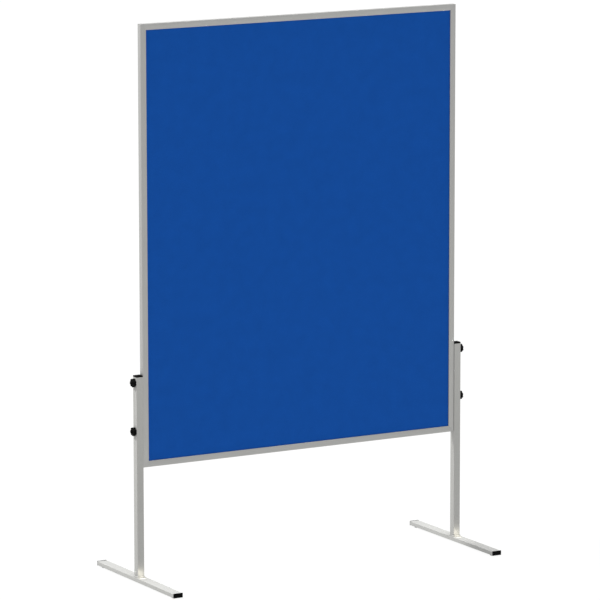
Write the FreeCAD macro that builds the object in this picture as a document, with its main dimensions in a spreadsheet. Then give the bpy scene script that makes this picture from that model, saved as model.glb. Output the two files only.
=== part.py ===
import FreeCAD, Part
import os
import Sketcher

# Pin board on two T-stands: a felt-covered panel in an aluminium frame, held between two
# posts by star knobs. Millimetres, +Z up. The origin is on the floor, midway between the
# stands and on the centre plane of the board. The front of the board faces -Y.

doc = FreeCAD.newDocument("pin_board")
sheet = doc.addObject("Spreadsheet::Sheet", "Sizes")

SIZES = [
    # the board: outside of its frame
    ("board_width", 1225.0),
    ("board_height", 1500.0),
    ("free_post_height", 378.0),    # from the top of a foot to the bottom of the board
    # the panel
    ("core_thickness", 12.0),
    ("felt_thickness", 1.0),
    # the frame's extrusion: a closed chamber outside and a groove for the panel inside
    ("frame_face", 20.5),
    ("felt_recess", 3.0),           # from the face of the frame down to the felt
    ("frame_wall", 1.6),
    ("chamber_width", 8.8),
    ("bead_width", 1.6),
    ("panel_edge_play", 0.5),
    ("panel_face_play", 0.2),
    # corner keys in the frame's chamber
    ("key_leg", 60.0),
    ("key_play", 0.2),
    # posts
    ("post_size", 25.0),
    ("post_wall", 1.5),
    ("post_corner", 0.8),
    ("post_overlap", 311.0),        # how far a post reaches above the bottom of the board
    ("spacer_thickness", 0.8),      # gap between a post and the frame
    ("spacer_diameter", 14.0),
    ("cap_thickness", 5.0),
    ("cap_skirt", 15.0),
    ("cap_play", 0.2),
    ("cap_wall", 1.6),
    # feet
    ("foot_length", 552.0),
    ("foot_width", 35.0),
    ("foot_height", 14.0),
    ("foot_wall", 1.5),
    ("foot_corner", 1.0),
    ("plug_thickness", 2.0),
    ("plug_rim", 1.0),              # how far a plug stands above and below its foot
    ("plug_skirt", 18.0),
    ("plug_play", 0.2),
    ("plug_wall", 1.6),
    ("weld_leg", 3.0),
    ("weld_height", 5.0),
    ("weld_tip", 0.6),
    # glides under the feet
    ("glide_diameter", 22.0),
    ("glide_height", 5.0),
    ("glide_edge", 1.2),
    ("glide_inset", 23.0),          # from the end of the foot's tube to the glide's centre
    ("stem_diameter", 8.0),
    ("stem_length", 8.0),
    ("stem_play", 0.1),
    # clamping knobs
    ("lower_knob_height", 125.0),   # above the bottom of the board
    ("knob_spacing", 167.0),
    ("knob_diameter", 30.0),
    ("knob_thickness", 10.5),
    ("knob_edge", 1.2),
    ("scallop_radius", 5.0),
    ("scallop_depth", 2.4),
    ("nose_diameter", 9.0),
    ("nose_length", 5.5),
    ("washer_thickness", 1.0),
    ("washer_diameter", 14.0),
    ("stud_diameter", 6.0),
    ("stud_grip", 7.0),             # length of stud moulded into the knob
    ("stud_tip", 1.0),              # how far the stud passes through the nut bar
    ("screw_hole_play", 0.3),       # radial, in the post, spacer and frame
    ("thread_play", 0.05),          # radial, in the nut bar
    ("nut_bar_play", 0.9),
    ("nut_bar_thickness", 6.0),
    ("nut_bar_margin", 20.0),
]
KNOB_LOBES = 7

for row, (alias, value) in enumerate(SIZES, start=1):
    sheet.set(f"A{row}", alias)
    sheet.set(f"B{row}", str(value))
    sheet.setAlias(f"B{row}", alias)
doc.recompute()


def size(text):
    """An expression on the sheet's aliases, written with plain names."""
    words = sorted((alias for alias, value in SIZES), key=len, reverse=True)
    out = []
    i = 0
    while i < len(text):
        word = next((w for w in words if text.startswith(w, i)), None)
        out.append(f"Sizes.{word}" if word else text[i])
        i += len(word) if word else 1
    return "".join(out)


def number(text):
    """The present value of such an expression, in mm."""
    value = sheet.evalExpression(size(text))
    return float(getattr(value, "Value", value))


# Places that several pieces share, as expressions on the sheet.
FOOT_BOTTOM = "glide_height"
FOOT_TOP = "(glide_height + foot_height)"
BOARD_BOTTOM = "(glide_height + foot_height + free_post_height)"
BOARD_TOP = "(glide_height + foot_height + free_post_height + board_height)"
BOARD_MIDDLE = "(glide_height + foot_height + free_post_height + board_height / 2)"
POST_TOP = "(glide_height + foot_height + free_post_height + post_overlap)"
POST_LENGTH = "(free_post_height + post_overlap)"
POST_X = "(board_width / 2 + spacer_thickness + post_size / 2)"
POST_FACE_X = "(board_width / 2 + spacer_thickness + post_size)"
PANEL_INSET = "(frame_wall * 2 + chamber_width + panel_edge_play)"
PANEL_HALF = "(core_thickness / 2 + felt_thickness)"
GROOVE_HALF = "(core_thickness / 2 + felt_thickness + panel_face_play)"
FRAME_HALF = "(core_thickness / 2 + felt_thickness + felt_recess)"
CHAMBER_HALF = "(core_thickness / 2 + felt_thickness + felt_recess - frame_wall)"
KNOB_HEIGHTS = {
    "lower": "(glide_height + foot_height + free_post_height + lower_knob_height)",
    "upper": "(glide_height + foot_height + free_post_height + lower_knob_height + knob_spacing)",
}
SIDES = {"left": 180.0, "right": 0.0}   # turn about Z from the right-hand piece
nodes = []


# ---- small helpers for bodies and sketches ----

def bind(obj, prop, text):
    obj.setExpression(prop, size(text))


def place(obj, x="0", y="0", z="0", turn=0.0, axis=(0, 0, 1)):
    """Put a piece at x, y, z (expressions), turned about an axis through its own origin."""
    obj.Placement = FreeCAD.Placement(FreeCAD.Vector(), FreeCAD.Rotation(FreeCAD.Vector(*axis), turn))
    for letter, text in (("x", x), ("y", y), ("z", z)):
        if text != "0":
            bind(obj, f"Placement.Base.{letter}", text)


def finish(obj, name):
    obj.Label = name
    nodes.append(obj)
    return obj


def new_body(name):
    return finish(doc.addObject("PartDesign::Body", name), name)


def origin_part(body, role):
    return next(f for f in body.Origin.OriginFeatures if f.Role == role)


def new_sketch(body, plane, name, offset=None):
    """A sketch on one of the body's own origin planes, lifted off it by an expression."""
    sketch = body.newObject("Sketcher::SketchObject", f"{body.Name}_{name}")
    sketch.AttachmentSupport = [(origin_part(body, plane), "")]
    sketch.MapMode = "FlatFace"
    if offset:
        bind(sketch, "AttachmentOffset.Base.z", offset)
    return sketch


def fix_coordinate(sketch, kind, geometry, point, text):
    index = sketch.addConstraint(Sketcher.Constraint(kind, -1, 1, geometry, point, number(text)))
    bind(sketch, f"Constraints[{index}]", text)


def fix_point(sketch, geometry, point, x, y):
    fix_coordinate(sketch, "DistanceX", geometry, point, x)
    fix_coordinate(sketch, "DistanceY", geometry, point, y)


def polygon(sketch, corners):
    """A closed outline whose corners are pairs of expressions."""
    points = [FreeCAD.Vector(number(x), number(y), 0) for x, y in corners]
    first = sketch.GeometryCount
    for i, point in enumerate(points):
        sketch.addGeometry(Part.LineSegment(point, points[(i + 1) % len(points)]), False)
    for i, (x, y) in enumerate(corners):
        line = first + i
        following = first + (i + 1) % len(corners)
        sketch.addConstraint(Sketcher.Constraint("Coincident", line, 2, following, 1))
        fix_point(sketch, line, 1, x, y)


def rectangle(sketch, x0, y0, x1, y1):
    polygon(sketch, [(x0, y0), (x1, y0), (x1, y1), (x0, y1)])


def rounded_rectangle(sketch, width, height, radius):
    """A rectangle about the sketch's origin with round corners; sizes are expressions."""
    w = number(width) / 2
    h = number(height) / 2
    r = number(radius)
    vector = FreeCAD.Vector
    first = sketch.GeometryCount
    sides = [
        (vector(-w + r, -h, 0), vector(w - r, -h, 0)),
        (vector(w, -h + r, 0), vector(w, h - r, 0)),
        (vector(w - r, h, 0), vector(-w + r, h, 0)),
        (vector(-w, h - r, 0), vector(-w, -h + r, 0)),
    ]
    diagonal = r * 0.5 ** 0.5
    for i, (start, end) in enumerate(sides):
        following = sides[(i + 1) % 4][0]
        centre = vector(end.x if i % 2 == 0 else following.x, following.y if i % 2 == 0 else end.y, 0)
        outward = vector(1 if centre.x > 0 else -1, 1 if centre.y > 0 else -1, 0)
        sketch.addGeometry(Part.LineSegment(start, end), False)
        sketch.addGeometry(Part.Arc(end, centre + outward * diagonal, following), False)
    for i in range(4):
        line = first + 2 * i
        arc = line + 1
        following = first + (2 * i + 2) % 8
        # a Part.Arc is stored counter-clockwise, so its start is the end of the side before it
        sketch.addConstraint(Sketcher.Constraint("Tangent", line, 2, arc, 1))
        sketch.addConstraint(Sketcher.Constraint("Tangent", arc, 2, following, 1))
        sketch.addConstraint(Sketcher.Constraint("Horizontal" if i % 2 == 0 else "Vertical", line))
        if i:
            sketch.addConstraint(Sketcher.Constraint("Equal", first + 1, arc))
    bottom, right, top, left = first, first + 2, first + 4, first + 6
    sketch.addConstraint(Sketcher.Constraint("Symmetric", bottom, 1, top, 1, -1, 1))
    across = sketch.addConstraint(Sketcher.Constraint("DistanceX", left, 1, right, 1, 2 * w))
    bind(sketch, f"Constraints[{across}]", width)
    up = sketch.addConstraint(Sketcher.Constraint("DistanceY", bottom, 1, top, 1, 2 * h))
    bind(sketch, f"Constraints[{up}]", height)
    bend = sketch.addConstraint(Sketcher.Constraint("Radius", first + 1, r))
    bind(sketch, f"Constraints[{bend}]", radius)


def circle(sketch, x, y, radius):
    centre = FreeCAD.Vector(number(x), number(y), 0)
    sketch.addGeometry(Part.Circle(centre, FreeCAD.Vector(0, 0, 1), number(radius)), False)
    index = sketch.GeometryCount - 1
    fix_point(sketch, index, 3, x, y)
    bend = sketch.addConstraint(Sketcher.Constraint("Radius", index, number(radius)))
    bind(sketch, f"Constraints[{bend}]", radius)


def pad(body, sketch, length, middle=False, back=False):
    feature = body.newObject("PartDesign::Pad", f"{sketch.Name}_pad")
    feature.Profile = sketch
    feature.Midplane = middle
    feature.Reversed = back
    bind(feature, "Length", length)
    return feature


def cut(body, sketch, length=None, middle=False, back=False):
    """Cut a sketch's outline out of a body, through all of it if no length is given."""
    doc.recompute()
    before = body.Shape.Volume
    feature = body.newObject("PartDesign::Pocket", f"{sketch.Name}_cut")
    feature.Profile = sketch
    feature.Midplane = middle
    feature.Reversed = back
    if length:
        bind(feature, "Length", length)
    else:
        feature.Type = "ThroughAll"
    doc.recompute()
    if not feature.Shape.Volume < before - 1e-3:
        raise RuntimeError(f"{feature.Name} cuts nothing")
    return feature


def revolve(body, sketch, axis):
    """A full turn of a sketch about its own H_Axis or V_Axis."""
    feature = body.newObject("PartDesign::Revolution", f"{sketch.Name}_turned")
    feature.Profile = sketch
    feature.ReferenceAxis = (sketch, [axis])
    feature.Angle = 360.0
    return feature


# ---- the frame: four lengths of one extrusion, mitred at the corners ----

def frame_section(sketch):
    """The extrusion's section: sketch x is its depth, sketch y runs inward from the outer face."""
    web = "(frame_wall * 2 + chamber_width)"
    bead = "(frame_face - bead_width)"
    polygon(sketch, [
        (f"-{FRAME_HALF}", "0"), (FRAME_HALF, "0"), (FRAME_HALF, "frame_face"),
        (GROOVE_HALF, "frame_face"), (GROOVE_HALF, bead), (CHAMBER_HALF, bead), (CHAMBER_HALF, web),
        (f"-{CHAMBER_HALF}", web), (f"-{CHAMBER_HALF}", bead), (f"-{GROOVE_HALF}", bead),
        (f"-{GROOVE_HALF}", "frame_face"), (f"-{FRAME_HALF}", "frame_face"),
    ])
    rectangle(sketch, f"-{CHAMBER_HALF}", "frame_wall", CHAMBER_HALF, "(frame_wall + chamber_width)")


def mitre(body, half_length):
    """Cut both ends of a length at 45 degrees. The long side is the outer face, at z = 0."""
    reach = "(frame_face * 2)"
    for name, sign in (("low", "-"), ("high", "")):
        sketch = new_sketch(body, "XZ_Plane", f"mitre_{name}")
        end = f"{sign}{half_length}"
        polygon(sketch, [(end, "0"), (f"{sign}({half_length} - {reach})", reach), (end, reach)])
        cut(body, sketch, middle=True)


def frame_length(name, length, screws=()):
    """A length along local X, its outer face at local z = 0 and its groove facing local +Z."""
    body = new_body(name)
    section = new_sketch(body, "YZ_Plane", "section")
    frame_section(section)
    pad(body, section, length, middle=True)
    mitre(body, f"({length} / 2)")
    if screws:
        holes = new_sketch(body, "XY_Plane", "screw_holes")
        for height in screws:
            circle(holes, height, "0", "(stud_diameter / 2 + screw_hole_play)")
        cut(body, holes, length="(frame_wall * 1.5)", back=True)
    return body


screw_places = [f"({height} - {BOARD_MIDDLE})" for height in KNOB_HEIGHTS.values()]
bottom_rail = frame_length("frame_bottom_rail", "board_width")
place(bottom_rail, z=BOARD_BOTTOM)
top_rail = frame_length("frame_top_rail", "board_width")
place(top_rail, z=BOARD_TOP, turn=180, axis=(1, 0, 0))
left_stile = frame_length("frame_left_stile", "board_height", screw_places)
place(left_stile, x="-board_width / 2", z=BOARD_MIDDLE, turn=180, axis=(1, 0, 1))
right_stile = frame_length("frame_right_stile", "board_height", screw_places)
place(right_stile, x="board_width / 2", z=BOARD_MIDDLE, turn=-90, axis=(0, 1, 0))


# ---- the panel: a light core with felt on both faces ----

def slab(name, thickness, y):
    """A sheet the size of the panel."""
    box = doc.addObject("Part::Box", name)
    bind(box, "Length", f"(board_width - 2 * {PANEL_INSET})")
    bind(box, "Width", thickness)
    bind(box, "Height", f"(board_height - 2 * {PANEL_INSET})")
    place(box, x=f"-(board_width / 2 - {PANEL_INSET})", y=y, z=f"({BOARD_BOTTOM} + {PANEL_INSET})")
    return finish(box, name)


slab("panel_core", "core_thickness", "-core_thickness / 2")
slab("felt_front", "felt_thickness", f"-{PANEL_HALF}")
slab("felt_rear", "felt_thickness", "core_thickness / 2")


# ---- corner keys: L-shaped blocks pressed into the chambers of two mitred lengths ----

def key_leg(name, x_side, z_side, upright):
    """One leg of a key, in the chamber of the stile or of the rail it joins."""
    near = "(frame_wall + key_play)"
    width = "(chamber_width - 2 * key_play)"
    depth = f"(2 * ({CHAMBER_HALF} - key_play))"
    along_x = width if upright else f"(key_leg - {near})"
    along_z = f"(key_leg - {near})" if upright else width
    box = doc.addObject("Part::Box", name)
    bind(box, "Length", along_x)
    bind(box, "Width", depth)
    bind(box, "Height", along_z)
    x = f"(board_width / 2 - {near})"
    z = f"({BOARD_TOP} - {near} - {along_z})" if z_side > 0 else f"({BOARD_BOTTOM} + {near})"
    place(box, x=f"({x} - {along_x})" if x_side > 0 else f"-{x}", y=f"-{depth} / 2", z=z)
    return box


keys = []
for x_name, x_side in (("left", -1), ("right", 1)):
    for z_name, z_side in (("bottom", -1), ("top", 1)):
        key = doc.addObject("Part::Fuse", f"key_{z_name}_{x_name}")
        key.Base = key_leg(f"key_{z_name}_{x_name}_upright", x_side, z_side, True)
        key.Tool = key_leg(f"key_{z_name}_{x_name}_level", x_side, z_side, False)
        key.Refine = True
        keys.append(key)
corner_keys = doc.addObject("Part::Compound", "corner_keys")
corner_keys.Links = keys
finish(corner_keys, "corner_keys")


# ---- stands ----

def post_tube(name):
    """A square tube standing on the foot, drilled across for the two screws."""
    body = new_body(name)
    section = new_sketch(body, "XY_Plane", "section")
    rounded_rectangle(section, "post_size", "post_size", "post_corner")
    bore = "(post_size / 2 - post_wall)"
    rectangle(section, f"-{bore}", f"-{bore}", bore, bore)
    pad(body, section, POST_LENGTH)
    holes = new_sketch(body, "YZ_Plane", "screw_holes")
    for height in KNOB_HEIGHTS.values():
        circle(holes, "0", f"({height} - {FOOT_TOP})", "(stud_diameter / 2 + screw_hole_play)")
    cut(body, holes, middle=True)
    return body


def skirt(body, plane, width, depth, wall, length, back):
    """The hollow part of a cap or plug that goes into a tube."""
    sketch = new_sketch(body, plane, "skirt")
    for w, d in ((width, depth), (f"({width} - 2 * {wall})", f"({depth} - 2 * {wall})")):
        rectangle(sketch, f"-{w} / 2", f"-{d} / 2", f"{w} / 2", f"{d} / 2")
    pad(body, sketch, length, back=back)


def post_cap(name):
    body = new_body(name)
    flange = new_sketch(body, "XY_Plane", "flange")
    rounded_rectangle(flange, "post_size", "post_size", "post_corner")
    pad(body, flange, "cap_thickness")
    inside = "(post_size - 2 * post_wall - 2 * cap_play)"
    skirt(body, "XY_Plane", inside, inside, "cap_wall", "cap_skirt", back=True)
    return body


def foot_tube(name):
    """A flat tube along Y with a hole in its underside for each glide's stem."""
    body = new_body(name)
    section = new_sketch(body, "XZ_Plane", "section")
    rounded_rectangle(section, "foot_width", "foot_height", "foot_corner")
    half_width = "(foot_width / 2 - foot_wall)"
    half_height = "(foot_height / 2 - foot_wall)"
    rectangle(section, f"-{half_width}", f"-{half_height}", half_width, half_height)
    pad(body, section, "foot_length", middle=True)
    holes = new_sketch(body, "XY_Plane", "stem_holes")
    for sign in ("-", ""):
        circle(holes, "0", f"{sign}(foot_length / 2 - glide_inset)", "(stem_diameter / 2 + stem_play)")
    cut(body, holes, length="foot_height")
    return body


def foot_plug(name):
    """A plug whose flange covers the end of the foot, towards local +Y, and stands a little proud."""
    body = new_body(name)
    flange = new_sketch(body, "XZ_Plane", "flange")
    rounded_rectangle(flange, "foot_width", "(foot_height + 2 * plug_rim)", "foot_corner")
    pad(body, flange, "plug_thickness", back=True)
    width = "(foot_width - 2 * foot_wall - 2 * plug_play)"
    height = "(foot_height - 2 * foot_wall - 2 * plug_play)"
    skirt(body, "XZ_Plane", width, height, "plug_wall", "plug_skirt", back=False)
    return body


def weld_seam(name):
    """The fillet of weld round the bottom of a post."""
    body = new_body(name)
    lower = new_sketch(body, "XY_Plane", "lower")
    spread = "(post_size + 2 * weld_leg)"
    rounded_rectangle(lower, spread, spread, "(post_corner + weld_leg)")
    upper = new_sketch(body, "XY_Plane", "upper", offset="weld_height")
    tip = "(post_size + 2 * weld_tip)"
    rounded_rectangle(upper, tip, tip, "(post_corner + weld_tip)")
    loft = body.newObject("PartDesign::AdditiveLoft", f"{body.Name}_loft")
    loft.Profile = lower
    loft.Sections = [upper]
    loft.Ruled = True
    hole = new_sketch(body, "XY_Plane", "post_outline")
    rounded_rectangle(hole, "post_size", "post_size", "post_corner")
    cut(body, hole, back=True)
    return body


def glide(name):
    """A plastic disc under the foot, with a stem pushed up into the tube."""
    body = new_body(name)
    outline = new_sketch(body, "XZ_Plane", "outline")
    radius = "(glide_diameter / 2)"
    stem = "(stem_diameter / 2)"
    top = "(glide_height + stem_length)"
    polygon(outline, [
        ("0", "0"), (f"({radius} - glide_edge)", "0"), (radius, "glide_edge"),
        (radius, "(glide_height - glide_edge / 2)"), (f"({radius} - glide_edge / 2)", "glide_height"),
        (stem, "glide_height"), (stem, top), ("0", top),
    ])
    revolve(body, outline, "V_Axis")
    return body


for side, turn in SIDES.items():
    sign = "-" if side == "left" else ""
    stand_x = f"{sign}{POST_X}"
    place(foot_tube(f"{side}_foot_tube"), x=stand_x, z="(glide_height + foot_height / 2)")
    place(post_tube(f"{side}_post_tube"), x=stand_x, z=FOOT_TOP)
    place(weld_seam(f"{side}_weld_seam"), x=stand_x, z=FOOT_TOP)
    place(post_cap(f"{side}_post_cap"), x=stand_x, z=POST_TOP)
    for end, end_sign, end_turn in (("front", "-", 180), ("rear", "", 0)):
        place(foot_plug(f"{side}_foot_{end}_plug"), x=stand_x, y=f"{end_sign}foot_length / 2",
              z="(glide_height + foot_height / 2)", turn=end_turn)
        place(glide(f"{side}_foot_{end}_glide"), x=stand_x, y=f"{end_sign}(foot_length / 2 - glide_inset)")


# ---- clamping: knob, stud and washer outside each post, nut bar inside each stile ----
# Local +X points out of the post and local x = 0 is the post's outer face.

def washer(name):
    body = new_body(name)
    outline = new_sketch(body, "YZ_Plane", "outline")
    circle(outline, "0", "0", "(washer_diameter / 2)")
    circle(outline, "0", "0", "(stud_diameter / 2 + screw_hole_play)")
    pad(body, outline, "washer_thickness")
    return body


def knob(name):
    """A turned grip with a nose, scalloped into lobes, with a blind bore for its stud."""
    body = new_body(name)
    outline = new_sketch(body, "XY_Plane", "outline")
    base = "washer_thickness"
    face = "(washer_thickness + knob_thickness)"
    end = f"({face} + nose_length)"
    bore = "(stud_diameter / 2)"
    grip = "(knob_diameter / 2)"
    nose = "(nose_diameter / 2)"
    deep = "(washer_thickness + stud_grip)"
    polygon(outline, [
        (base, bore), (base, f"({grip} - knob_edge)"), (f"({base} + knob_edge)", grip),
        (f"({face} - knob_edge)", grip), (face, f"({grip} - knob_edge)"), (face, nose),
        (f"({end} - knob_edge)", nose), (end, f"({nose} - knob_edge)"), (end, "0"),
        (deep, "0"), (deep, bore),
    ])
    revolve(body, outline, "H_Axis")
    scallop = new_sketch(body, "YZ_Plane", "scallop")
    circle(scallop, "0", "(knob_diameter / 2 + scallop_radius - scallop_depth)", "scallop_radius")
    first = cut(body, scallop, back=True)
    lobes = body.newObject("PartDesign::PolarPattern", f"{body.Name}_lobes")
    lobes.Originals = [first]
    lobes.Axis = (origin_part(body, "X_Axis"), [""])
    lobes.Angle = 360.0
    lobes.Occurrences = KNOB_LOBES
    body.Tip = lobes
    return body


def stud(name):
    """A threaded stud from the knob through post, spacer and stile into the nut bar."""
    body = new_body(name)
    outline = new_sketch(body, "YZ_Plane", "outline", offset="(washer_thickness + stud_grip)")
    circle(outline, "0", "0", "(stud_diameter / 2)")
    reach = "post_size + spacer_thickness + frame_wall + nut_bar_thickness + stud_tip"
    pad(body, outline, f"(washer_thickness + stud_grip + {reach})", back=True)
    return body


def nut_bar(name):
    """A steel bar inside the stile's chamber with a threaded hole for each stud."""
    body = new_body(name)
    outline = new_sketch(body, "YZ_Plane", "outline")
    margin = "(knob_spacing / 2 + nut_bar_margin)"
    half = f"({CHAMBER_HALF} - nut_bar_play)"
    rectangle(outline, f"-{half}", f"-{margin}", half, margin)
    for sign in ("-", ""):
        circle(outline, "0", f"{sign}knob_spacing / 2", "(stud_diameter / 2 + thread_play)")
    pad(body, outline, "nut_bar_thickness")
    return body


def spacer(name):
    """A plastic ring that holds a post off the frame."""
    ring = doc.addObject("Part::Cut", name)
    for prop, radius in (("Base", "spacer_diameter / 2"), ("Tool", "(stud_diameter / 2 + screw_hole_play)")):
        cylinder = doc.addObject("Part::Cylinder", f"{name}_{prop.lower()}")
        bind(cylinder, "Radius", radius)
        bind(cylinder, "Height", "spacer_thickness")
        setattr(ring, prop, cylinder)
    return ring


spacers = []
for side, turn in SIDES.items():
    sign = "-" if side == "left" else ""
    bar = nut_bar(f"{side}_nut_bar")
    place(bar, x=f"{sign}(board_width / 2 - frame_wall - nut_bar_thickness)",
          z=f"({KNOB_HEIGHTS['lower']} + knob_spacing / 2)", turn=turn)
    for level, height in KNOB_HEIGHTS.items():
        for make in (washer, knob, stud):
            place(make(f"{side}_{level}_{make.__name__}"), x=f"{sign}{POST_FACE_X}", z=height, turn=turn)
        ring = spacer(f"spacer_{side}_{level}")
        start = "board_width / 2" if side == "right" else "-(board_width / 2 + spacer_thickness)"
        place(ring, x=start, z=height, turn=90, axis=(0, 1, 0))
        spacers.append(ring)
post_spacers = doc.addObject("Part::Compound", "post_spacers")
post_spacers.Links = spacers
finish(post_spacers, "post_spacers")


# ---- check and write ----

doc.recompute()
for obj in doc.Objects:
    if "Invalid" in obj.State or "Error" in obj.State:
        raise RuntimeError(f"{obj.Name} is {obj.State}")
os.makedirs("parts", exist_ok=True)
for node in nodes:
    shape = node.Shape
    if shape.isNull() or not shape.isValid() or not shape.Solids:
        raise RuntimeError(f"{node.Label} has no valid solid")
    shape.exportStep(f"parts/{node.Label}.step")
    box = shape.BoundBox
    print(f"{node.Label}: {len(shape.Solids)} solid, {shape.Volume / 1000:.1f} cm3,"
          f" x {box.XMin:.1f} to {box.XMax:.1f}, y {box.YMin:.1f} to {box.YMax:.1f},"
          f" z {box.ZMin:.1f} to {box.ZMax:.1f}")
print(len(nodes), "nodes")
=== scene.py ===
# %% [markdown]
# # A felt pin board on two T-foot stands
#
# This lesson dresses a finished engineering model: a softboard panel faced with felt on both
# sides, in an aluminium frame, clamped by star knobs between two stands of steel tube. The
# frame below gives every part its true place and size, in metres, with the origin on the
# floor under the middle of the board and the front of the board facing -Y. Each step looks
# at one part or one finish, says how it could be made, and makes it.

# %% Open the engineering model
from math import cos, floor, pi, radians, sin, sqrt

import bmesh
import bpy
from mathutils import Matrix, Vector, noise


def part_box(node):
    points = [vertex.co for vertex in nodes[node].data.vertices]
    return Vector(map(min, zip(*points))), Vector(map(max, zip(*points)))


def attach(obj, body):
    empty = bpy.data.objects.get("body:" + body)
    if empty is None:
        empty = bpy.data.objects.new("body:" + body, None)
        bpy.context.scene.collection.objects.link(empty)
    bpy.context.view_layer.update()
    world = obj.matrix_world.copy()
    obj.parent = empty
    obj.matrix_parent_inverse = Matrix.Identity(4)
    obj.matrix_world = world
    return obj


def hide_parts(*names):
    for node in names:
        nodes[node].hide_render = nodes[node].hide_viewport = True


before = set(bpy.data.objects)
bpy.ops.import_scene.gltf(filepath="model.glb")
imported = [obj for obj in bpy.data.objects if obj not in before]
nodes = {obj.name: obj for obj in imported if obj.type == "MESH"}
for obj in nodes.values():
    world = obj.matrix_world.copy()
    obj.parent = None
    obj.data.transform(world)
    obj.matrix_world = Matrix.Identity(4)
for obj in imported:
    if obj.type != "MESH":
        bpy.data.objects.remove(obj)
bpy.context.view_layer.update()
MM = 0.001

# %% [markdown]
# ## The studio
#
# The floor could be a curved paper sweep, but a very wide flat disc never shows its edge to a
# camera that looks slightly down, and it has no fold to catch a shadow. It is lit acrylic: it
# glows a little, so that it stays white and the thin board leaves only a faint shadow on it.

# %% A pale lit floor
FLOOR_RADIUS = 90.0


def linear(colour):
    """An sRGB hex colour as the linear red, green, blue and alpha that shaders expect."""
    parts = [int(colour[i:i + 2], 16) / 255 for i in (1, 3, 5)]
    return [p / 12.92 if p <= 0.04045 else ((p + 0.055) / 1.055) ** 2.4 for p in parts] + [1.0]


def node(tree, kind, inputs=None, stops=None, **settings):
    """Adds a node: its settings, its colour ramp's stops, and each input's value or link."""
    made = tree.nodes.new(kind)
    for name, value in settings.items():
        setattr(made, name, value)
    for index, (place, colour) in enumerate(stops or []):
        ramp = made.color_ramp.elements
        stop = ramp[index] if index < len(ramp) else ramp.new(1.0)
        stop.position, stop.color = place, linear(colour)
    for name, value in (inputs or {}).items():
        if isinstance(value, bpy.types.NodeSocket):
            tree.links.new(value, made.inputs[name])
        else:
            made.inputs[name].default_value = value
    return made


def start(name):
    """A new material, its node tree, and the object coordinates that its patterns follow."""
    made = bpy.data.materials.new(name)
    made.use_nodes = True
    made.node_tree.nodes.clear()
    return made, made.node_tree, node(made.node_tree, "ShaderNodeTexCoord").outputs["Object"]


def surface(tree, inputs):
    """Ends a material's tree in one Principled shader with these inputs."""
    shader = node(tree, "ShaderNodeBsdfPrincipled", inputs)
    node(tree, "ShaderNodeOutputMaterial", {"Surface": shader.outputs["BSDF"]})


floor_shape = bmesh.new()
bmesh.ops.create_circle(floor_shape, cap_ends=True, radius=FLOOR_RADIUS, segments=96)
floor_mesh = bpy.data.meshes.new("studio_floor")
floor_shape.to_mesh(floor_mesh)
floor_shape.free()
studio_floor = bpy.data.objects.new("studio_floor", floor_mesh)
bpy.context.scene.collection.objects.link(studio_floor)

acrylic, tree, _ = start("lit white acrylic floor")
surface(tree, {
    "Base Color": linear("#3C3C3B"),
    "Roughness": 0.9,
    "Specular IOR Level": 0.0,
    "Emission Color": linear("#FFFFFF"),
    "Emission Strength": 0.94,
})
floor_mesh.materials.append(acrylic)
print("floor radius in metres:", FLOOR_RADIUS)

# %% [markdown]
# ## Light
#
# Two sun lamps and a pale surround light the object; a sun lamp is even over an object this
# wide. The first stands straight overhead, so tops come out almost white. The second is
# lower, to the left and a little behind: it picks out the faces on the left, each left-hand
# knob drops a short shadow down its post, and the board shades the front half of the right
# foot. The front faces are lit by the floor and the surround alone, which makes them mid
# grey. A small low lamp in front of each stand lifts the bottom of its post and the weld.

# %% A pale surround and two sun lamps
SURROUND = 0.62
# name: lean to the left and to the back from straight overhead, spread (degrees), strength
LAMPS = {
    "overhead": (0.0, 0.0, 8.0, 3.05),
    "left": (36.0, 14.0, 12.0, 2.54),
}

surround = bpy.data.worlds.new("pale surround")
surround.use_nodes = True
surround.node_tree.nodes.clear()
glow = node(surround.node_tree, "ShaderNodeBackground", {"Color": linear("#FFFFFF"), "Strength": SURROUND})
node(surround.node_tree, "ShaderNodeOutputWorld", {"Surface": glow.outputs["Background"]})
bpy.context.scene.world = surround


def place_lamp(lamp, location, tip, lean):
    """Puts a lamp in the scene, tipped about X and then leaned about Y, in degrees."""
    made = bpy.data.objects.new(lamp.name, lamp)
    made.location = location
    made.rotation_euler = (radians(tip), radians(lean), 0.0)
    bpy.context.scene.collection.objects.link(made)
    return made


for name, (lean_left, lean_back, spread, strength) in LAMPS.items():
    lamp = bpy.data.lights.new(name, "SUN")
    lamp.energy, lamp.angle = strength, radians(spread)
    place_lamp(lamp, (-1.0, 0.0, 4.0), -lean_back, -lean_left)
print("surround:", SURROUND, "lamps:", ", ".join(LAMPS))

# %% A small warm lamp low in front of each stand
LOW_LAMP_SIZE = 0.012
LOW_LAMP_WATTS = 0.0065
LOW_LAMP_PLACE = Vector((0.0, -0.034, 0.009))  # from the middle of the post's lower end
LOW_LAMP_TILT = 85.0  # degrees from straight down, towards the post

for side in ("left", "right"):
    low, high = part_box(f"{side}_post_tube")
    lamp = bpy.data.lights.new("low " + side, "AREA")
    lamp.energy, lamp.size, lamp.color = LOW_LAMP_WATTS, LOW_LAMP_SIZE, linear("#FFF9EA")[:3]
    post_foot = Vector(((low.x + high.x) / 2, 0.0, low.z))
    place_lamp(lamp, post_foot + LOW_LAMP_PLACE, LOW_LAMP_TILT, 0.0).visible_camera = False
print("low lamps:", LOW_LAMP_WATTS, "W each")

# %% [markdown]
# ## Camera
#
# A long lens from far away keeps the posts and the frame almost parallel, as a catalogue
# view does. The camera stands to the left of the board and a little above its middle, and
# its place is worked out from two angles, a distance and the point that it looks at.

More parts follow.
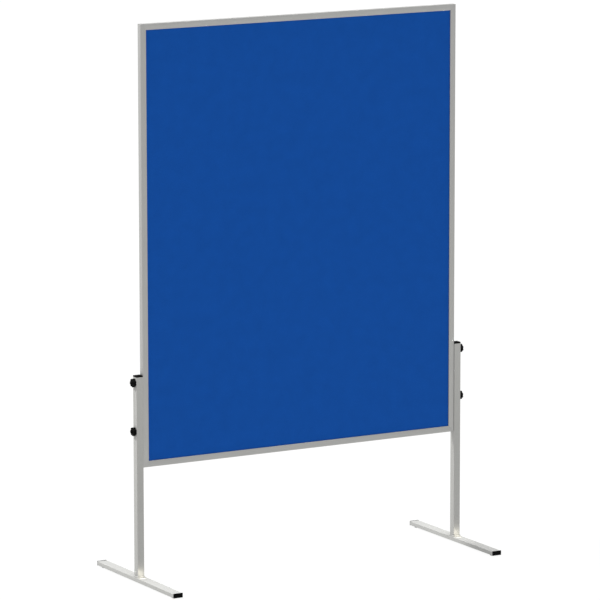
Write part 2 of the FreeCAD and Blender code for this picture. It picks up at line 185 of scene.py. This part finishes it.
# %% A long lens, to the left and slightly above
VIEW_TURN = -29.67  # degrees round the board; 0 looks straight at its front
VIEW_RISE = 9.93  # degrees above level
VIEW_ROLL = -0.06
VIEW_DISTANCE = 15.6034
VIEW_CENTRE = Vector((0.0, -0.010, 1.147))
AIM_RIGHT, AIM_UP = -0.0043, -0.2271  # from that centre to the middle of the view
SENSOR_MM, LENS_MM = 36.0, 274.98

turn, rise, roll = radians(VIEW_TURN), radians(VIEW_RISE), radians(VIEW_ROLL)
back = Vector((sin(turn) * cos(rise), -cos(turn) * cos(rise), sin(rise)))
level = Vector((cos(turn), sin(turn), 0.0))
upright = back.cross(level)
right = level * cos(roll) + upright * sin(roll)
up = upright * cos(roll) - level * sin(roll)
lens = bpy.data.cameras.new("camera")
lens.sensor_width, lens.lens = SENSOR_MM, LENS_MM
lens.clip_start, lens.clip_end = 0.1, 500.0
camera = bpy.data.objects.new("camera", lens)
eye = VIEW_CENTRE + right * AIM_RIGHT + up * AIM_UP + back * VIEW_DISTANCE
axes = Matrix((right, up, back)).transposed()
camera.matrix_world = Matrix.Translation(eye) @ axes.to_4x4()
bpy.context.scene.collection.objects.link(camera)
bpy.context.scene.camera = camera
bpy.context.scene.view_settings.view_transform = "Standard"
print("camera at", [round(x, 3) for x in eye])

# %% [markdown]
# ## Finish: natural anodised aluminium
#
# The frame is extruded, then matt etched and anodised. The oxide layer scatters light, so it
# looks like pale grey satin and not like a mirror. The die leaves fine lines along the
# length, and hands leave wide, faint changes of gloss. The lines are noise stretched along
# the length: one material runs along X for the rails and one along Z for the stiles.

# %% Anodised aluminium, along the rails and along the stiles
DIE_LINE_MM = 0.9  # real die lines are about 0.1 mm apart, too fine to show, so these are coarser
HANDLING_MM = 70.0
LINE_STRETCH = 0.004


def per_metre(size_mm):
    """Texture scale that makes features of this size."""
    return 1000.0 / size_mm


def anodised_aluminium(name, squeeze):
    """Satin anodised extrusion whose die lines run along the axis that is squeezed."""
    made, tree, place = start(name)
    drawn = node(tree, "ShaderNodeMapping", {"Vector": place, "Scale": squeeze}).outputs["Vector"]
    lines = node(tree, "ShaderNodeTexNoise",
                 {"Vector": drawn, "Scale": per_metre(DIE_LINE_MM), "Detail": 3.0}).outputs["Fac"]
    tone = node(tree, "ShaderNodeValToRGB", {"Fac": lines}, [(0.3, "#AAAAA8"), (0.7, "#B4B4B2")])
    handled = node(tree, "ShaderNodeTexNoise",
                   {"Vector": place, "Scale": per_metre(HANDLING_MM), "Detail": 2.0}).outputs["Fac"]
    gloss = node(tree, "ShaderNodeMapRange", {"Value": handled, "To Min": 0.46, "To Max": 0.6})
    relief = node(tree, "ShaderNodeBump", {"Height": lines, "Strength": 0.25, "Distance": 0.06 * MM})
    surface(tree, {
        "Base Color": tone.outputs["Color"],
        "Metallic": 0.55,
        "Roughness": gloss.outputs["Result"],
        "Normal": relief.outputs["Normal"],
    })
    return made


along_rails = anodised_aluminium("anodised aluminium along X", (LINE_STRETCH, 1.0, 1.0))
along_stiles = anodised_aluminium("anodised aluminium along Z", (1.0, 1.0, LINE_STRETCH))
print("die lines every", DIE_LINE_MM, "mm")

# %% [markdown]
# ## Finish: silver powder coat
#
# Posts, feet and weld beads are steel, coated in silver polyester powder. It melts to an even
# skin with a slight orange peel a few millimetres across, and fine aluminium flake in it
# gives tiny lighter and darker specks. One noise makes the peel and cells make the flake.

# %% Silver powder coat
PEEL_MM = 2.4
FLAKE_MM = 0.7  # real flake is about 0.05 mm across, so these cells are coarser to show


def powder_coat(name):
    """Sprayed and baked powder coat with orange peel and aluminium flake."""
    made, tree, place = start(name)
    peel = node(tree, "ShaderNodeTexNoise",
                {"Vector": place, "Scale": per_metre(PEEL_MM), "Detail": 1.5}).outputs["Fac"]
    cells = node(tree, "ShaderNodeTexVoronoi", {"Vector": place, "Scale": per_metre(FLAKE_MM)})
    flake = node(tree, "ShaderNodeValToRGB", {"Fac": cells.outputs["Color"]},
                 [(0.15, "#A4A4A1"), (0.8, "#ACACA9"), (0.97, "#BEBEBB")])
    gloss = node(tree, "ShaderNodeMapRange", {"Value": peel, "To Min": 0.42, "To Max": 0.56})
    relief = node(tree, "ShaderNodeBump", {"Height": peel, "Strength": 0.35, "Distance": 0.08 * MM})
    surface(tree, {
        "Base Color": flake.outputs["Color"],
        "Metallic": 0.15,
        "Roughness": gloss.outputs["Result"],
        "Normal": relief.outputs["Normal"],
    })
    return made


silver_coat = powder_coat("silver powder coat")
print("orange peel every", PEEL_MM, "mm")

# %% [markdown]
# ## Finish: needled felt
#
# The felt is a web of polyester fibre, matted by barbed needles and glued to the panel. It
# has no weave: close to, it is a tangle of fine fibres, and from further off a very even
# blue with faint clouds where the web is thicker. Fibre ends catch light at a low angle,
# which the shader's sheen gives. Twisted noise makes the tangle, for colour and for bump.

# %% Needled felt
FIBRE_MM = 1.3  # real fibres are about 0.03 mm thick, and their matted tufts about 1 mm
CLOUD_MM = 45.0


def needled_felt(name):
    """Matted fibre felt, dyed in the fibre."""
    made, tree, place = start(name)
    tangle = node(tree, "ShaderNodeTexNoise",
                  {"Vector": place, "Scale": per_metre(FIBRE_MM), "Detail": 5.0,
                   "Roughness": 0.65, "Distortion": 1.6}).outputs["Fac"]
    clouds = node(tree, "ShaderNodeTexNoise",
                  {"Vector": place, "Scale": per_metre(CLOUD_MM), "Detail": 3.0}).outputs["Fac"]
    dyed = node(tree, "ShaderNodeValToRGB", {"Fac": tangle},
                [(0.25, "#0A408B"), (0.5, "#114FA5"), (0.75, "#1B5BB4")])
    thick = node(tree, "ShaderNodeValToRGB", {"Fac": clouds}, [(0.3, "#F7F7F7"), (0.7, "#FFFFFF")])
    blended = node(tree, "ShaderNodeMix", {0: 1.0, 6: dyed.outputs["Color"], 7: thick.outputs["Color"]},
                   data_type="RGBA", blend_type="MULTIPLY")
    relief = node(tree, "ShaderNodeBump", {"Height": tangle, "Strength": 0.5, "Distance": 0.35 * MM})
    surface(tree, {
        "Base Color": blended.outputs[2],
        "Roughness": 0.95,
        "Specular IOR Level": 0.08,
        "Sheen Weight": 0.06,
        "Sheen Roughness": 0.5,
        "Sheen Tint": linear("#5B8CD8"),
        "Normal": relief.outputs["Normal"],
    })
    return made


blue_felt = needled_felt("blue needled felt")
print("felt tufts every", FIBRE_MM, "mm")

# %% [markdown]
# ## Finish: moulded plastics
#
# Knobs, caps and plugs are black nylon or polyethylene from a mould with a spark-eroded
# texture, a fine even grain that kills the gloss. The glides are softer grey plastic, and
# the hidden keys and spacers are the same with another pigment. One function makes all of
# them: grain for the bump, and wider, fainter noise for scuffs in colour and gloss.

# %% Moulded plastics
GRAIN_MM = 0.5  # spark texture is near 0.1 mm, drawn coarser so that it shows
SCUFF_MM = 9.0


def moulded_plastic(name, dark, light, smooth, rough, shine):
    """Injection moulded plastic between two tones, with a spark-eroded grain and scuffs."""
    made, tree, place = start(name)
    grain = node(tree, "ShaderNodeTexNoise",
                 {"Vector": place, "Scale": per_metre(GRAIN_MM), "Detail": 2.0}).outputs["Fac"]
    scuffs = node(tree, "ShaderNodeTexNoise",
                  {"Vector": place, "Scale": per_metre(SCUFF_MM), "Detail": 4.0}).outputs["Fac"]
    tone = node(tree, "ShaderNodeValToRGB", {"Fac": scuffs}, [(0.35, dark), (0.72, light)])
    gloss = node(tree, "ShaderNodeMapRange", {"Value": scuffs, "To Min": smooth, "To Max": rough})
    relief = node(tree, "ShaderNodeBump", {"Height": grain, "Strength": 0.3, "Distance": 0.05 * MM})
    surface(tree, {
        "Base Color": tone.outputs["Color"],
        "Roughness": gloss.outputs["Result"],
        "Specular IOR Level": shine,
        "Normal": relief.outputs["Normal"],
    })
    return made


black_plastic = moulded_plastic("black moulded nylon", "#090909", "#0E0E0E", 0.7, 0.86, 0.05)
grey_plastic = moulded_plastic("grey glide plastic", "#4C4C4A", "#5A5A57", 0.5, 0.7, 0.3)
inner_plastic = moulded_plastic("dark inner plastic", "#2C2C2D", "#363637", 0.5, 0.7, 0.3)
print("plastics:", black_plastic.name, grey_plastic.name, inner_plastic.name)

# %% [markdown]
# ## Finish: zinc plate and softboard
#
# Washers, studs and nut bars are bright zinc plated steel: a clean bluish metal, a little
# cloudy where the plate was passivated. The panel inside is softboard, pressed from wood
# fibre, which only shows if the felt is lifted: brown, coarse and quite without gloss.

# %% Zinc plate and softboard
PASSIVATION_MM = 6.0
WOOD_FIBRE_MM = 1.8


def zinc_plate(name):
    """Bright zinc plate, clouded by passivation."""
    made, tree, place = start(name)
    clouds = node(tree, "ShaderNodeTexNoise",
                  {"Vector": place, "Scale": per_metre(PASSIVATION_MM), "Detail": 3.0}).outputs["Fac"]
    tone = node(tree, "ShaderNodeValToRGB", {"Fac": clouds}, [(0.3, "#B9BCC2"), (0.7, "#D3D4D3")])
    gloss = node(tree, "ShaderNodeMapRange", {"Value": clouds, "To Min": 0.26, "To Max": 0.42})
    surface(tree, {
        "Base Color": tone.outputs["Color"],
        "Metallic": 1.0,
        "Roughness": gloss.outputs["Result"],
    })
    return made


def pressed_fibre(name):
    """Softboard: wood fibre pressed wet and dried."""
    made, tree, place = start(name)
    fibres = node(tree, "ShaderNodeTexNoise",
                  {"Vector": place, "Scale": per_metre(WOOD_FIBRE_MM), "Detail": 6.0,
                   "Distortion": 1.0}).outputs["Fac"]
    tone = node(tree, "ShaderNodeValToRGB", {"Fac": fibres},
                [(0.3, "#8A6B47"), (0.55, "#A5845B"), (0.8, "#BD9D72")])
    relief = node(tree, "ShaderNodeBump", {"Height": fibres, "Strength": 0.6, "Distance": 0.3 * MM})
    surface(tree, {
        "Base Color": tone.outputs["Color"],
        "Roughness": 0.92,
        "Specular IOR Level": 0.2,
        "Normal": relief.outputs["Normal"],
    })
    return made


zinc = zinc_plate("bright zinc plate")
softboard = pressed_fibre("pressed softboard")
print("metals and board:", zinc.name, softboard.name)

# %% [markdown]
# ## Hidden parts keep their plain shapes
#
# The panel core, corner keys, spacers and nut bars are simple solids whose engineering shape
# is already right, so each only gets its finish in place of the plain one.

# %% Finishes on the parts that stay as they are
kept = {
    "panel_core": softboard,
    "corner_keys": inner_plastic,
    "post_spacers": inner_plastic,
    "left_nut_bar": zinc,
    "right_nut_bar": zinc,
}
for name, finish in kept.items():
    nodes[name].data.materials.clear()
    nodes[name].data.materials.append(finish)
print("kept as they are:", ", ".join(kept))

# %% [markdown]
# ## Cut and extruded metal with broken edges
#
# Real sheet and tube never has a knife edge: sawing, tumbling and paint round it by a few
# tenths of a millimetre, and that round is what catches a line of light. The engineering
# solids are sharp, so each is copied, its loose triangles are merged into flat faces, and
# every sharp edge gets a small rounded bevel. That keeps holes and tube walls true.

# %% Copy a solid and round its sharp edges
BODY = "board_and_stands"
SHARP = 40.0  # degrees between faces; rounded tube corners turn less than this a step


def meshed(shape, name):
    """Turns worked faces into a mesh that shades smoothly except at sharp edges."""
    mesh = bpy.data.meshes.new(name)
    shape.to_mesh(mesh)
    shape.free()
    if "custom_normal" in mesh.attributes:
        mesh.attributes.remove(mesh.attributes["custom_normal"])
    mesh.shade_smooth()
    mesh.set_sharp_from_angle(angle=radians(SHARP))
    return mesh


def softened(source, width_mm, steps):
    """A merged copy of a part, with every sharp edge rounded to this width."""
    shape = bmesh.new()
    shape.from_mesh(nodes[source].data)
    bmesh.ops.remove_doubles(shape, verts=shape.verts, dist=1e-6)
    bmesh.ops.dissolve_limit(shape, angle_limit=radians(1.0), verts=shape.verts, edges=shape.edges)
    sharp = [edge for edge in shape.edges if edge.calc_face_angle(0.0) > radians(SHARP)]
    bmesh.ops.bevel(shape, geom=sharp, offset=width_mm * MM, segments=steps, profile=0.5,
                    affect="EDGES", clamp_overlap=True)
    return meshed(shape, source + "_finished")


def piece(name, mesh, finish, slot, body, *stands_for):
    """Puts a finished mesh on its body, in place of the plain parts that it stands for."""
    made = bpy.data.objects.new(name, mesh)
    bpy.context.scene.collection.objects.link(made)
    mesh.materials.clear()
    mesh.materials.append(finish)
    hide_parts(*stands_for)
    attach(made, body)
    return made


for part, finish in (("top_rail", along_rails), ("bottom_rail", along_rails),
                     ("left_stile", along_stiles), ("right_stile", along_stiles)):
    source = "frame_" + part
    made = piece(part + "_extrusion", softened(source, 0.45, 2), finish,
                 "anodised_aluminium", BODY, source)
    print(made.name, len(made.data.polygons), "faces")

# %% [markdown]
# ## Posts, feet, caps and plugs
#
# The tubes take a small painted edge. The moulded caps and plugs take a larger one, with more
# steps, because a mould's edges are always rounded so that the part comes out.

# %% Stands and their plastic ends
SIDES = {"left": -1, "right": 1}
for side in SIDES:
    for part, width_mm, steps, finish, slot in (
            ("post_tube", 0.3, 2, silver_coat, "silver_powder_coat"),
            ("foot_tube", 0.3, 2, silver_coat, "silver_powder_coat"),
            ("post_cap", 0.6, 3, black_plastic, "black_plastic"),
            ("foot_front_plug", 0.5, 3, black_plastic, "black_plastic"),
            ("foot_rear_plug", 0.5, 3, black_plastic, "black_plastic")):
        source = f"{side}_{part}"
        made = piece(source + "_finished", softened(source, width_mm, steps), finish, slot,
                     BODY, source)
        print(made.name, len(made.data.polygons), "faces")

# %% [markdown]
# ## The felt
#
# Each sheet of felt is cut 1.2 by 1.475 m and glued flat to the panel. A plain flat face
# would look like paint, so the front is a fine grid that follows the slight swells of matted
# felt, a tenth of a millimetre deep, while the glued back stays flat on the panel.

# %% Two sheets of felt
SWELL_MM = 38.0  # from one swell to the next
SWELL_DEPTH = 0.12 * MM
GRID = 7.5 * MM


def felt_mesh(source, facing):
    """A closed thin sheet with a swelling outer face; facing is -1 for the front and 1 for the rear."""
    low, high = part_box(source)
    outer, inner = (low.y, high.y) if facing < 0 else (high.y, low.y)
    columns = round((high.x - low.x) / GRID)
    rows = round((high.z - low.z) / GRID)
    shape = bmesh.new()
    face = []
    for row in range(rows + 1):
        z = low.z + (high.z - low.z) * row / rows
        line = []
        for column in range(columns + 1):
            x = low.x + (high.x - low.x) * column / columns
            swell = noise.noise(Vector((x, facing, z)) * per_metre(SWELL_MM))
            depth = SWELL_DEPTH * (0.5 - 0.5 * swell)
            line.append(shape.verts.new((x, outer - facing * depth, z)))
        face.append(line)
    for near, far in zip(face, face[1:]):
        for i in range(columns):
            shape.faces.new((near[i], near[i + 1], far[i + 1], far[i]))
    rim = face[0] + [line[-1] for line in face[1:-1]] + face[-1][::-1]
    rim += [line[0] for line in face[-2:0:-1]]
    glued = [shape.verts.new((v.co.x, inner, v.co.z)) for v in rim]
    for i in range(len(rim)):
        j = (i + 1) % len(rim)
        shape.faces.new((rim[i], rim[j], glued[j], glued[i]))
    shape.faces.new(glued)
    bmesh.ops.recalc_face_normals(shape, faces=shape.faces)
    return meshed(shape, source + "_sheet")


for source, facing in (("felt_front", -1), ("felt_rear", 1)):
    sheet = piece(source + "_sheet", felt_mesh(source, facing), blue_felt, "blue_felt", BODY, source)
    print(sheet.name, len(sheet.data.polygons), "faces")

# %% [markdown]
# ## Turned and moulded round parts
#
# Washers, studs, glides and knobs are all made the same way: rings of points along an axis,
# joined into one closed skin. A ring can be a circle, or a star whose radius changes as it
# goes round, so one helper serves for everything from a washer to a knob.

# %% Join rings of points into a closed skin
def skin(name, rings, looped=False):
    """A closed mesh through rings of as many points each; a looped skin joins its last ring to its first."""
    shape = bmesh.new()
    rows = [[shape.verts.new(point) for point in ring] for ring in rings]
    pairs = list(zip(rows, rows[1:]))
    if looped:
        pairs.append((rows[-1], rows[0]))
    else:
        shape.faces.new(rows[0])
        shape.faces.new(rows[-1])
    for near, far in pairs:
        for i in range(len(near)):
            j = (i + 1) % len(near)
            shape.faces.new((near[i], near[j], far[j], far[i]))
    bmesh.ops.recalc_face_normals(shape, faces=shape.faces)
    return meshed(shape, name)


def upright_ring(centre, height, radius, count):
    """A level circle of points round a vertical axis."""
    turns = [2 * pi * i / count for i in range(count)]
    return [centre + Vector((radius * cos(a), radius * sin(a), height)) for a in turns]


def sideways_ring(x, height, radius, count):
    """Points round an axis along X; radius is a length, or a function of the angle."""
    turns = [2 * pi * i / count for i in range(count)]
    reach = [radius(a) if callable(radius) else radius for a in turns]
    return [Vector((x, r * cos(a), height + r * sin(a))) for a, r in zip(turns, reach)]


print("ring helpers ready")

# %% [markdown]
# ## Glides
#
# Under each end of a foot sits a round plastic glide with a stem pushed into the tube. Its
# lower edge is well rounded, so that it slides over carpet, and the top edge is only eased.

# %% Four glides
GLIDE_RADIUS, GLIDE_HEIGHT = 11.0, 5.0
STEM_RADIUS, STEM_TOP = 4.0, 13.0
# upwards from the floor: height and radius
GLIDE_PROFILE = (
    (0.0, GLIDE_RADIUS - 1.4), (0.2, GLIDE_RADIUS - 0.7), (0.7, GLIDE_RADIUS - 0.2), (1.4, GLIDE_RADIUS),
    (GLIDE_HEIGHT - 0.7, GLIDE_RADIUS), (GLIDE_HEIGHT - 0.2, GLIDE_RADIUS - 0.2),
    (GLIDE_HEIGHT, GLIDE_RADIUS - 0.6), (GLIDE_HEIGHT, STEM_RADIUS + 0.2),
    (GLIDE_HEIGHT + 0.2, STEM_RADIUS), (STEM_TOP - 0.8, STEM_RADIUS), (STEM_TOP, STEM_RADIUS - 0.7),
)
for side in SIDES:
    for end in ("front", "rear"):
        source = f"{side}_foot_{end}_glide"
        low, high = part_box(source)
        centre = Vector(((low.x + high.x) / 2, (low.y + high.y) / 2, 0.0))
        rings = [upright_ring(centre, height * MM, radius * MM, 48) for height, radius in GLIDE_PROFILE]
        piece(source + "_turned", skin(source, rings), grey_plastic, "grey_glide_plastic", BODY, source)
print("glides: 4")

# %% [markdown]
# ## Star knobs
#
# Each knob is a seven-lobed grip with a short round nose. The lobes come from scallops cut
# into a disc, blended so that the crests are round and not sharp. The rim follows that
# outline inwards for the rounded edges, then fades to a circle towards the nose.

# %% Four star knobs
KNOB_RADIUS, LOBES = 15.0, 7
GRIP, NOSE_END, NOSE_RADIUS = 10.5, 16.0, 4.5
SCALLOP_RADIUS, SCALLOP_DEPTH = 5.0, 2.4
BLEND_MM = 0.7  # how gently a scallop meets the rim
# outwards from the washer: distance, inset from the outline, share of the circle, circle radius
KNOB_PROFILE = (
    (0.0, 5.0, 1.0, 8.0), (0.0, 1.4, 0.0, 0.0), (0.35, 0.5, 0.0, 0.0), (1.1, 0.05, 0.0, 0.0),
    (5.0, 0.0, 0.0, 0.0), (GRIP - 1.8, 0.12, 0.0, 0.0), (GRIP - 0.9, 0.45, 0.0, 0.0),
    (GRIP - 0.3, 1.05, 0.0, 0.0), (GRIP, 1.9, 0.1, 11.8), (GRIP, 3.0, 0.45, 10.4),
    (GRIP - 0.15, 0.0, 1.0, 8.8), (GRIP - 0.45, 0.0, 1.0, 7.6), (GRIP - 0.5, 0.0, 1.0, 6.2),
    (GRIP - 0.3, 0.0, 1.0, NOSE_RADIUS + 0.6), (GRIP + 0.3, 0.0, 1.0, NOSE_RADIUS + 0.12),
    (GRIP + 1.1, 0.0, 1.0, NOSE_RADIUS), (NOSE_END - 1.0, 0.0, 1.0, NOSE_RADIUS - 0.12),
    (NOSE_END - 0.4, 0.0, 1.0, NOSE_RADIUS - 0.45), (NOSE_END - 0.1, 0.0, 1.0, NOSE_RADIUS - 1.0),
    (NOSE_END, 0.0, 1.0, NOSE_RADIUS - 1.7), (NOSE_END, 0.0, 1.0, 1.2),
)


def star(angle):
    """Radius of the scalloped outline in millimetres, with rounded crests."""
    centre = KNOB_RADIUS - SCALLOP_DEPTH + SCALLOP_RADIUS
    step = 2 * pi / LOBES
    off = (angle / step - floor(angle / step) - 0.5) * step
    inside = SCALLOP_RADIUS ** 2 - (centre * sin(off)) ** 2
    if inside <= 0.0:
        return KNOB_RADIUS
    cut = centre * cos(off) - sqrt(inside)
    mix = max(BLEND_MM - abs(cut - KNOB_RADIUS), 0.0) / BLEND_MM
    return min(cut, KNOB_RADIUS) - mix * mix * BLEND_MM / 4


def knob_mesh(name, seat, out, height):
    """A star knob that stands on its washer at x = seat and points along out."""
    rings = []
    for distance, inset, share, radius in KNOB_PROFILE:
        def reach(angle, inset=inset, share=share, radius=radius):
            return ((star(angle) - inset) * (1 - share) + radius * share) * MM
        rings.append(sideways_ring(seat + out * distance * MM, height, reach, 16 * LOBES))
    return skin(name, rings)


LEVELS = ("lower", "upper")
for side, out in SIDES.items():
    for height_name in LEVELS:
        source = f"{side}_{height_name}_knob"
        low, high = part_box(f"{side}_{height_name}_washer")
        seat, height = (high.x if out > 0 else low.x), (low.z + high.z) / 2
        knob = piece(source + "_moulded", knob_mesh(source, seat, out, height), black_plastic,
                     "black_plastic", source + "_body", source)
        print(knob.name, len(knob.data.polygons), "faces")

# %% [markdown]
# ## Washers and threaded studs
#
# A washer is a looped skin: its section goes round the hole and back to where it began. A
# stud's thread could be a swept profile, but a skin whose radius rises and falls with both
# the angle and the distance gives a true right-hand thread in a few lines. The thread only
# shows when a knob is unscrewed.

# %% Four washers and four studs
WASHER_SECTION = ((0.0, 3.3), (0.0, 6.7), (0.12, 6.94), (0.3, 7.0), (0.7, 7.0), (0.88, 6.94),
                  (1.0, 6.7), (1.0, 3.3), (0.85, 3.16), (0.15, 3.16))
PITCH, CREST, ROOT = 1.0, 2.98, 2.55  # M6 coarse thread, in millimetres
STEPS_PER_PITCH = 8

for side, out in SIDES.items():
    for height_name in LEVELS:
        source = f"{side}_{height_name}_washer"
        low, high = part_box(source)
        face, height = (low.x if out > 0 else high.x), (low.z + high.z) / 2
        rings = [sideways_ring(face + out * d * MM, height, r * MM, 48) for d, r in WASHER_SECTION]
        piece(source + "_pressed", skin(source, rings, looped=True), zinc, "zinc_plated_steel",
              source + "_body", source)

        source = f"{side}_{height_name}_stud"
        low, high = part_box(source)
        steps = int((high.x - low.x) / MM * STEPS_PER_PITCH / PITCH)
        rings = []
        for step in range(steps + 1):
            x = low.x + (high.x - low.x) * step / steps
            end = min(step, steps - step) / STEPS_PER_PITCH  # both ends are chamfered

            def thread(angle, x=x, end=end):
                phase = x / MM / PITCH - angle / (2 * pi)
                wave = abs(2 * (phase - floor(phase)) - 1)
                return min(ROOT + (CREST - ROOT) * wave, 2.0 + end) * MM
            rings.append(sideways_ring(x, height, thread, 24))
        piece(source + "_threaded", skin(source, rings), zinc, "zinc_plated_steel",
              f"{side}_{height_name}_knob_body", source)
print("washers: 4, studs: 4")

# %% [markdown]
# ## Weld beads
#
# Each post is welded to its foot all the way round. A hand-laid bead is a row of
# overlapping ripples, so it is made with Geometry Nodes: a path round the post, evenly
# spaced points on it, and one flattened drop of metal on each, turned along the path. A
# little random size, with a fixed seed, keeps it from looking like a string of beads.

# %% A node tree that lays weld ripples along a path
def ripple_tree():
    """Geometry nodes that lay overlapping drops along a path of edges."""
    tree = bpy.data.node_groups.new("weld ripples", "GeometryNodeTree")
    sockets = {}
    for name, kind in (("Path", "NodeSocketGeometry"), ("Spacing", "NodeSocketFloat"),
                       ("Half size", "NodeSocketVector"), ("Unevenness", "NodeSocketFloat"),
                       ("Seed", "NodeSocketInt"), ("Finish", "NodeSocketMaterial")):
        sockets[name] = tree.interface.new_socket(name, in_out="INPUT", socket_type=kind).identifier
    tree.interface.new_socket("Bead", in_out="OUTPUT", socket_type="NodeSocketGeometry")
    given = node(tree, "NodeGroupInput").outputs
    path = node(tree, "GeometryNodeMeshToCurve", {"Mesh": given["Path"]}).outputs["Curve"]
    points = node(tree, "GeometryNodeResampleCurve", {"Curve": path, "Length": given["Spacing"]},
                  mode="LENGTH").outputs["Curve"]
    drop = node(tree, "GeometryNodeMeshUVSphere", {"Segments": 12, "Rings": 8, "Radius": 1.0})
    along = node(tree, "FunctionNodeAlignRotationToVector",
                 {"Vector": node(tree, "GeometryNodeInputTangent").outputs["Tangent"]}, axis="X")
    least = node(tree, "ShaderNodeMath", {0: 1.0, 1: given["Unevenness"]}, operation="SUBTRACT")
    uneven = node(tree, "FunctionNodeRandomValue", {2: least.outputs["Value"], 3: 1.0,
                  "Seed": given["Seed"]}, data_type="FLOAT").outputs[1]
    size = node(tree, "ShaderNodeVectorMath", {0: given["Half size"], "Scale": uneven}, operation="SCALE")
    drops = node(tree, "GeometryNodeInstanceOnPoints",
                 {"Points": points, "Instance": drop.outputs["Mesh"],
                  "Rotation": along.outputs["Rotation"], "Scale": size.outputs["Vector"]})
    real = node(tree, "GeometryNodeRealizeInstances", {"Geometry": drops.outputs["Instances"]})
    coated = node(tree, "GeometryNodeSetMaterial", {"Geometry": real.outputs["Geometry"],
                                                    "Material": given["Finish"]})
    node(tree, "NodeGroupOutput", {"Bead": coated.outputs["Geometry"]})
    return tree, sockets


ripples, ripple_inputs = ripple_tree()
print("inputs:", ", ".join(ripple_inputs))

# %% Lay a bead round the foot of each post
RIPPLE_SPACING = 1.5 * MM
RIPPLE_HALF_SIZE = (1.7 * MM, 2.0 * MM, 3.25 * MM)
PATH_OUT = 1.0 * MM  # from the post's face to the middle of the bead
BEAD_RISE = 1.75 * MM  # from the foot's top to the middle of the bead
CORNER_STEPS = 6
CORNER_RADIUS = 1.8 * MM

for side in SIDES:
    low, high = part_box(f"{side}_post_tube")
    middle = Vector(((low.x + high.x) / 2, (low.y + high.y) / 2, low.z + BEAD_RISE))
    reach = (high.x - low.x) / 2 + PATH_OUT - CORNER_RADIUS
    loop = []
    for corner in range(4):
        for step in range(CORNER_STEPS + 1):
            angle = (corner + step / CORNER_STEPS) * pi / 2
            hub = Vector((reach * (1 if corner in (0, 3) else -1), reach * (1 if corner < 2 else -1), 0.0))
            loop.append(middle + hub + Vector((cos(angle), sin(angle), 0.0)) * CORNER_RADIUS)
    path = bpy.data.meshes.new("bead_path")
    path.from_pydata(loop, [(i, (i + 1) % len(loop)) for i in range(len(loop))], [])
    carrier = bpy.data.objects.new("bead_path", path)
    bpy.context.scene.collection.objects.link(carrier)
    modifier = carrier.modifiers.new("ripples", "NODES")
    modifier.node_group = ripples
    for name, value in (("Spacing", RIPPLE_SPACING), ("Half size", RIPPLE_HALF_SIZE),
                        ("Unevenness", 0.12), ("Seed", 7 + SIDES[side]), ("Finish", silver_coat)):
        modifier[ripple_inputs[name]] = value
    evaluated = carrier.evaluated_get(bpy.context.evaluated_depsgraph_get())
    bead = bpy.data.meshes.new_from_object(evaluated)
    bpy.data.objects.remove(carrier)
    bead.shade_smooth()
    source = f"{side}_weld_seam"
    made = piece(source + "_bead", bead, silver_coat, "silver_powder_coat", BODY, source)
    print(made.name, len(made.data.polygons), "faces")
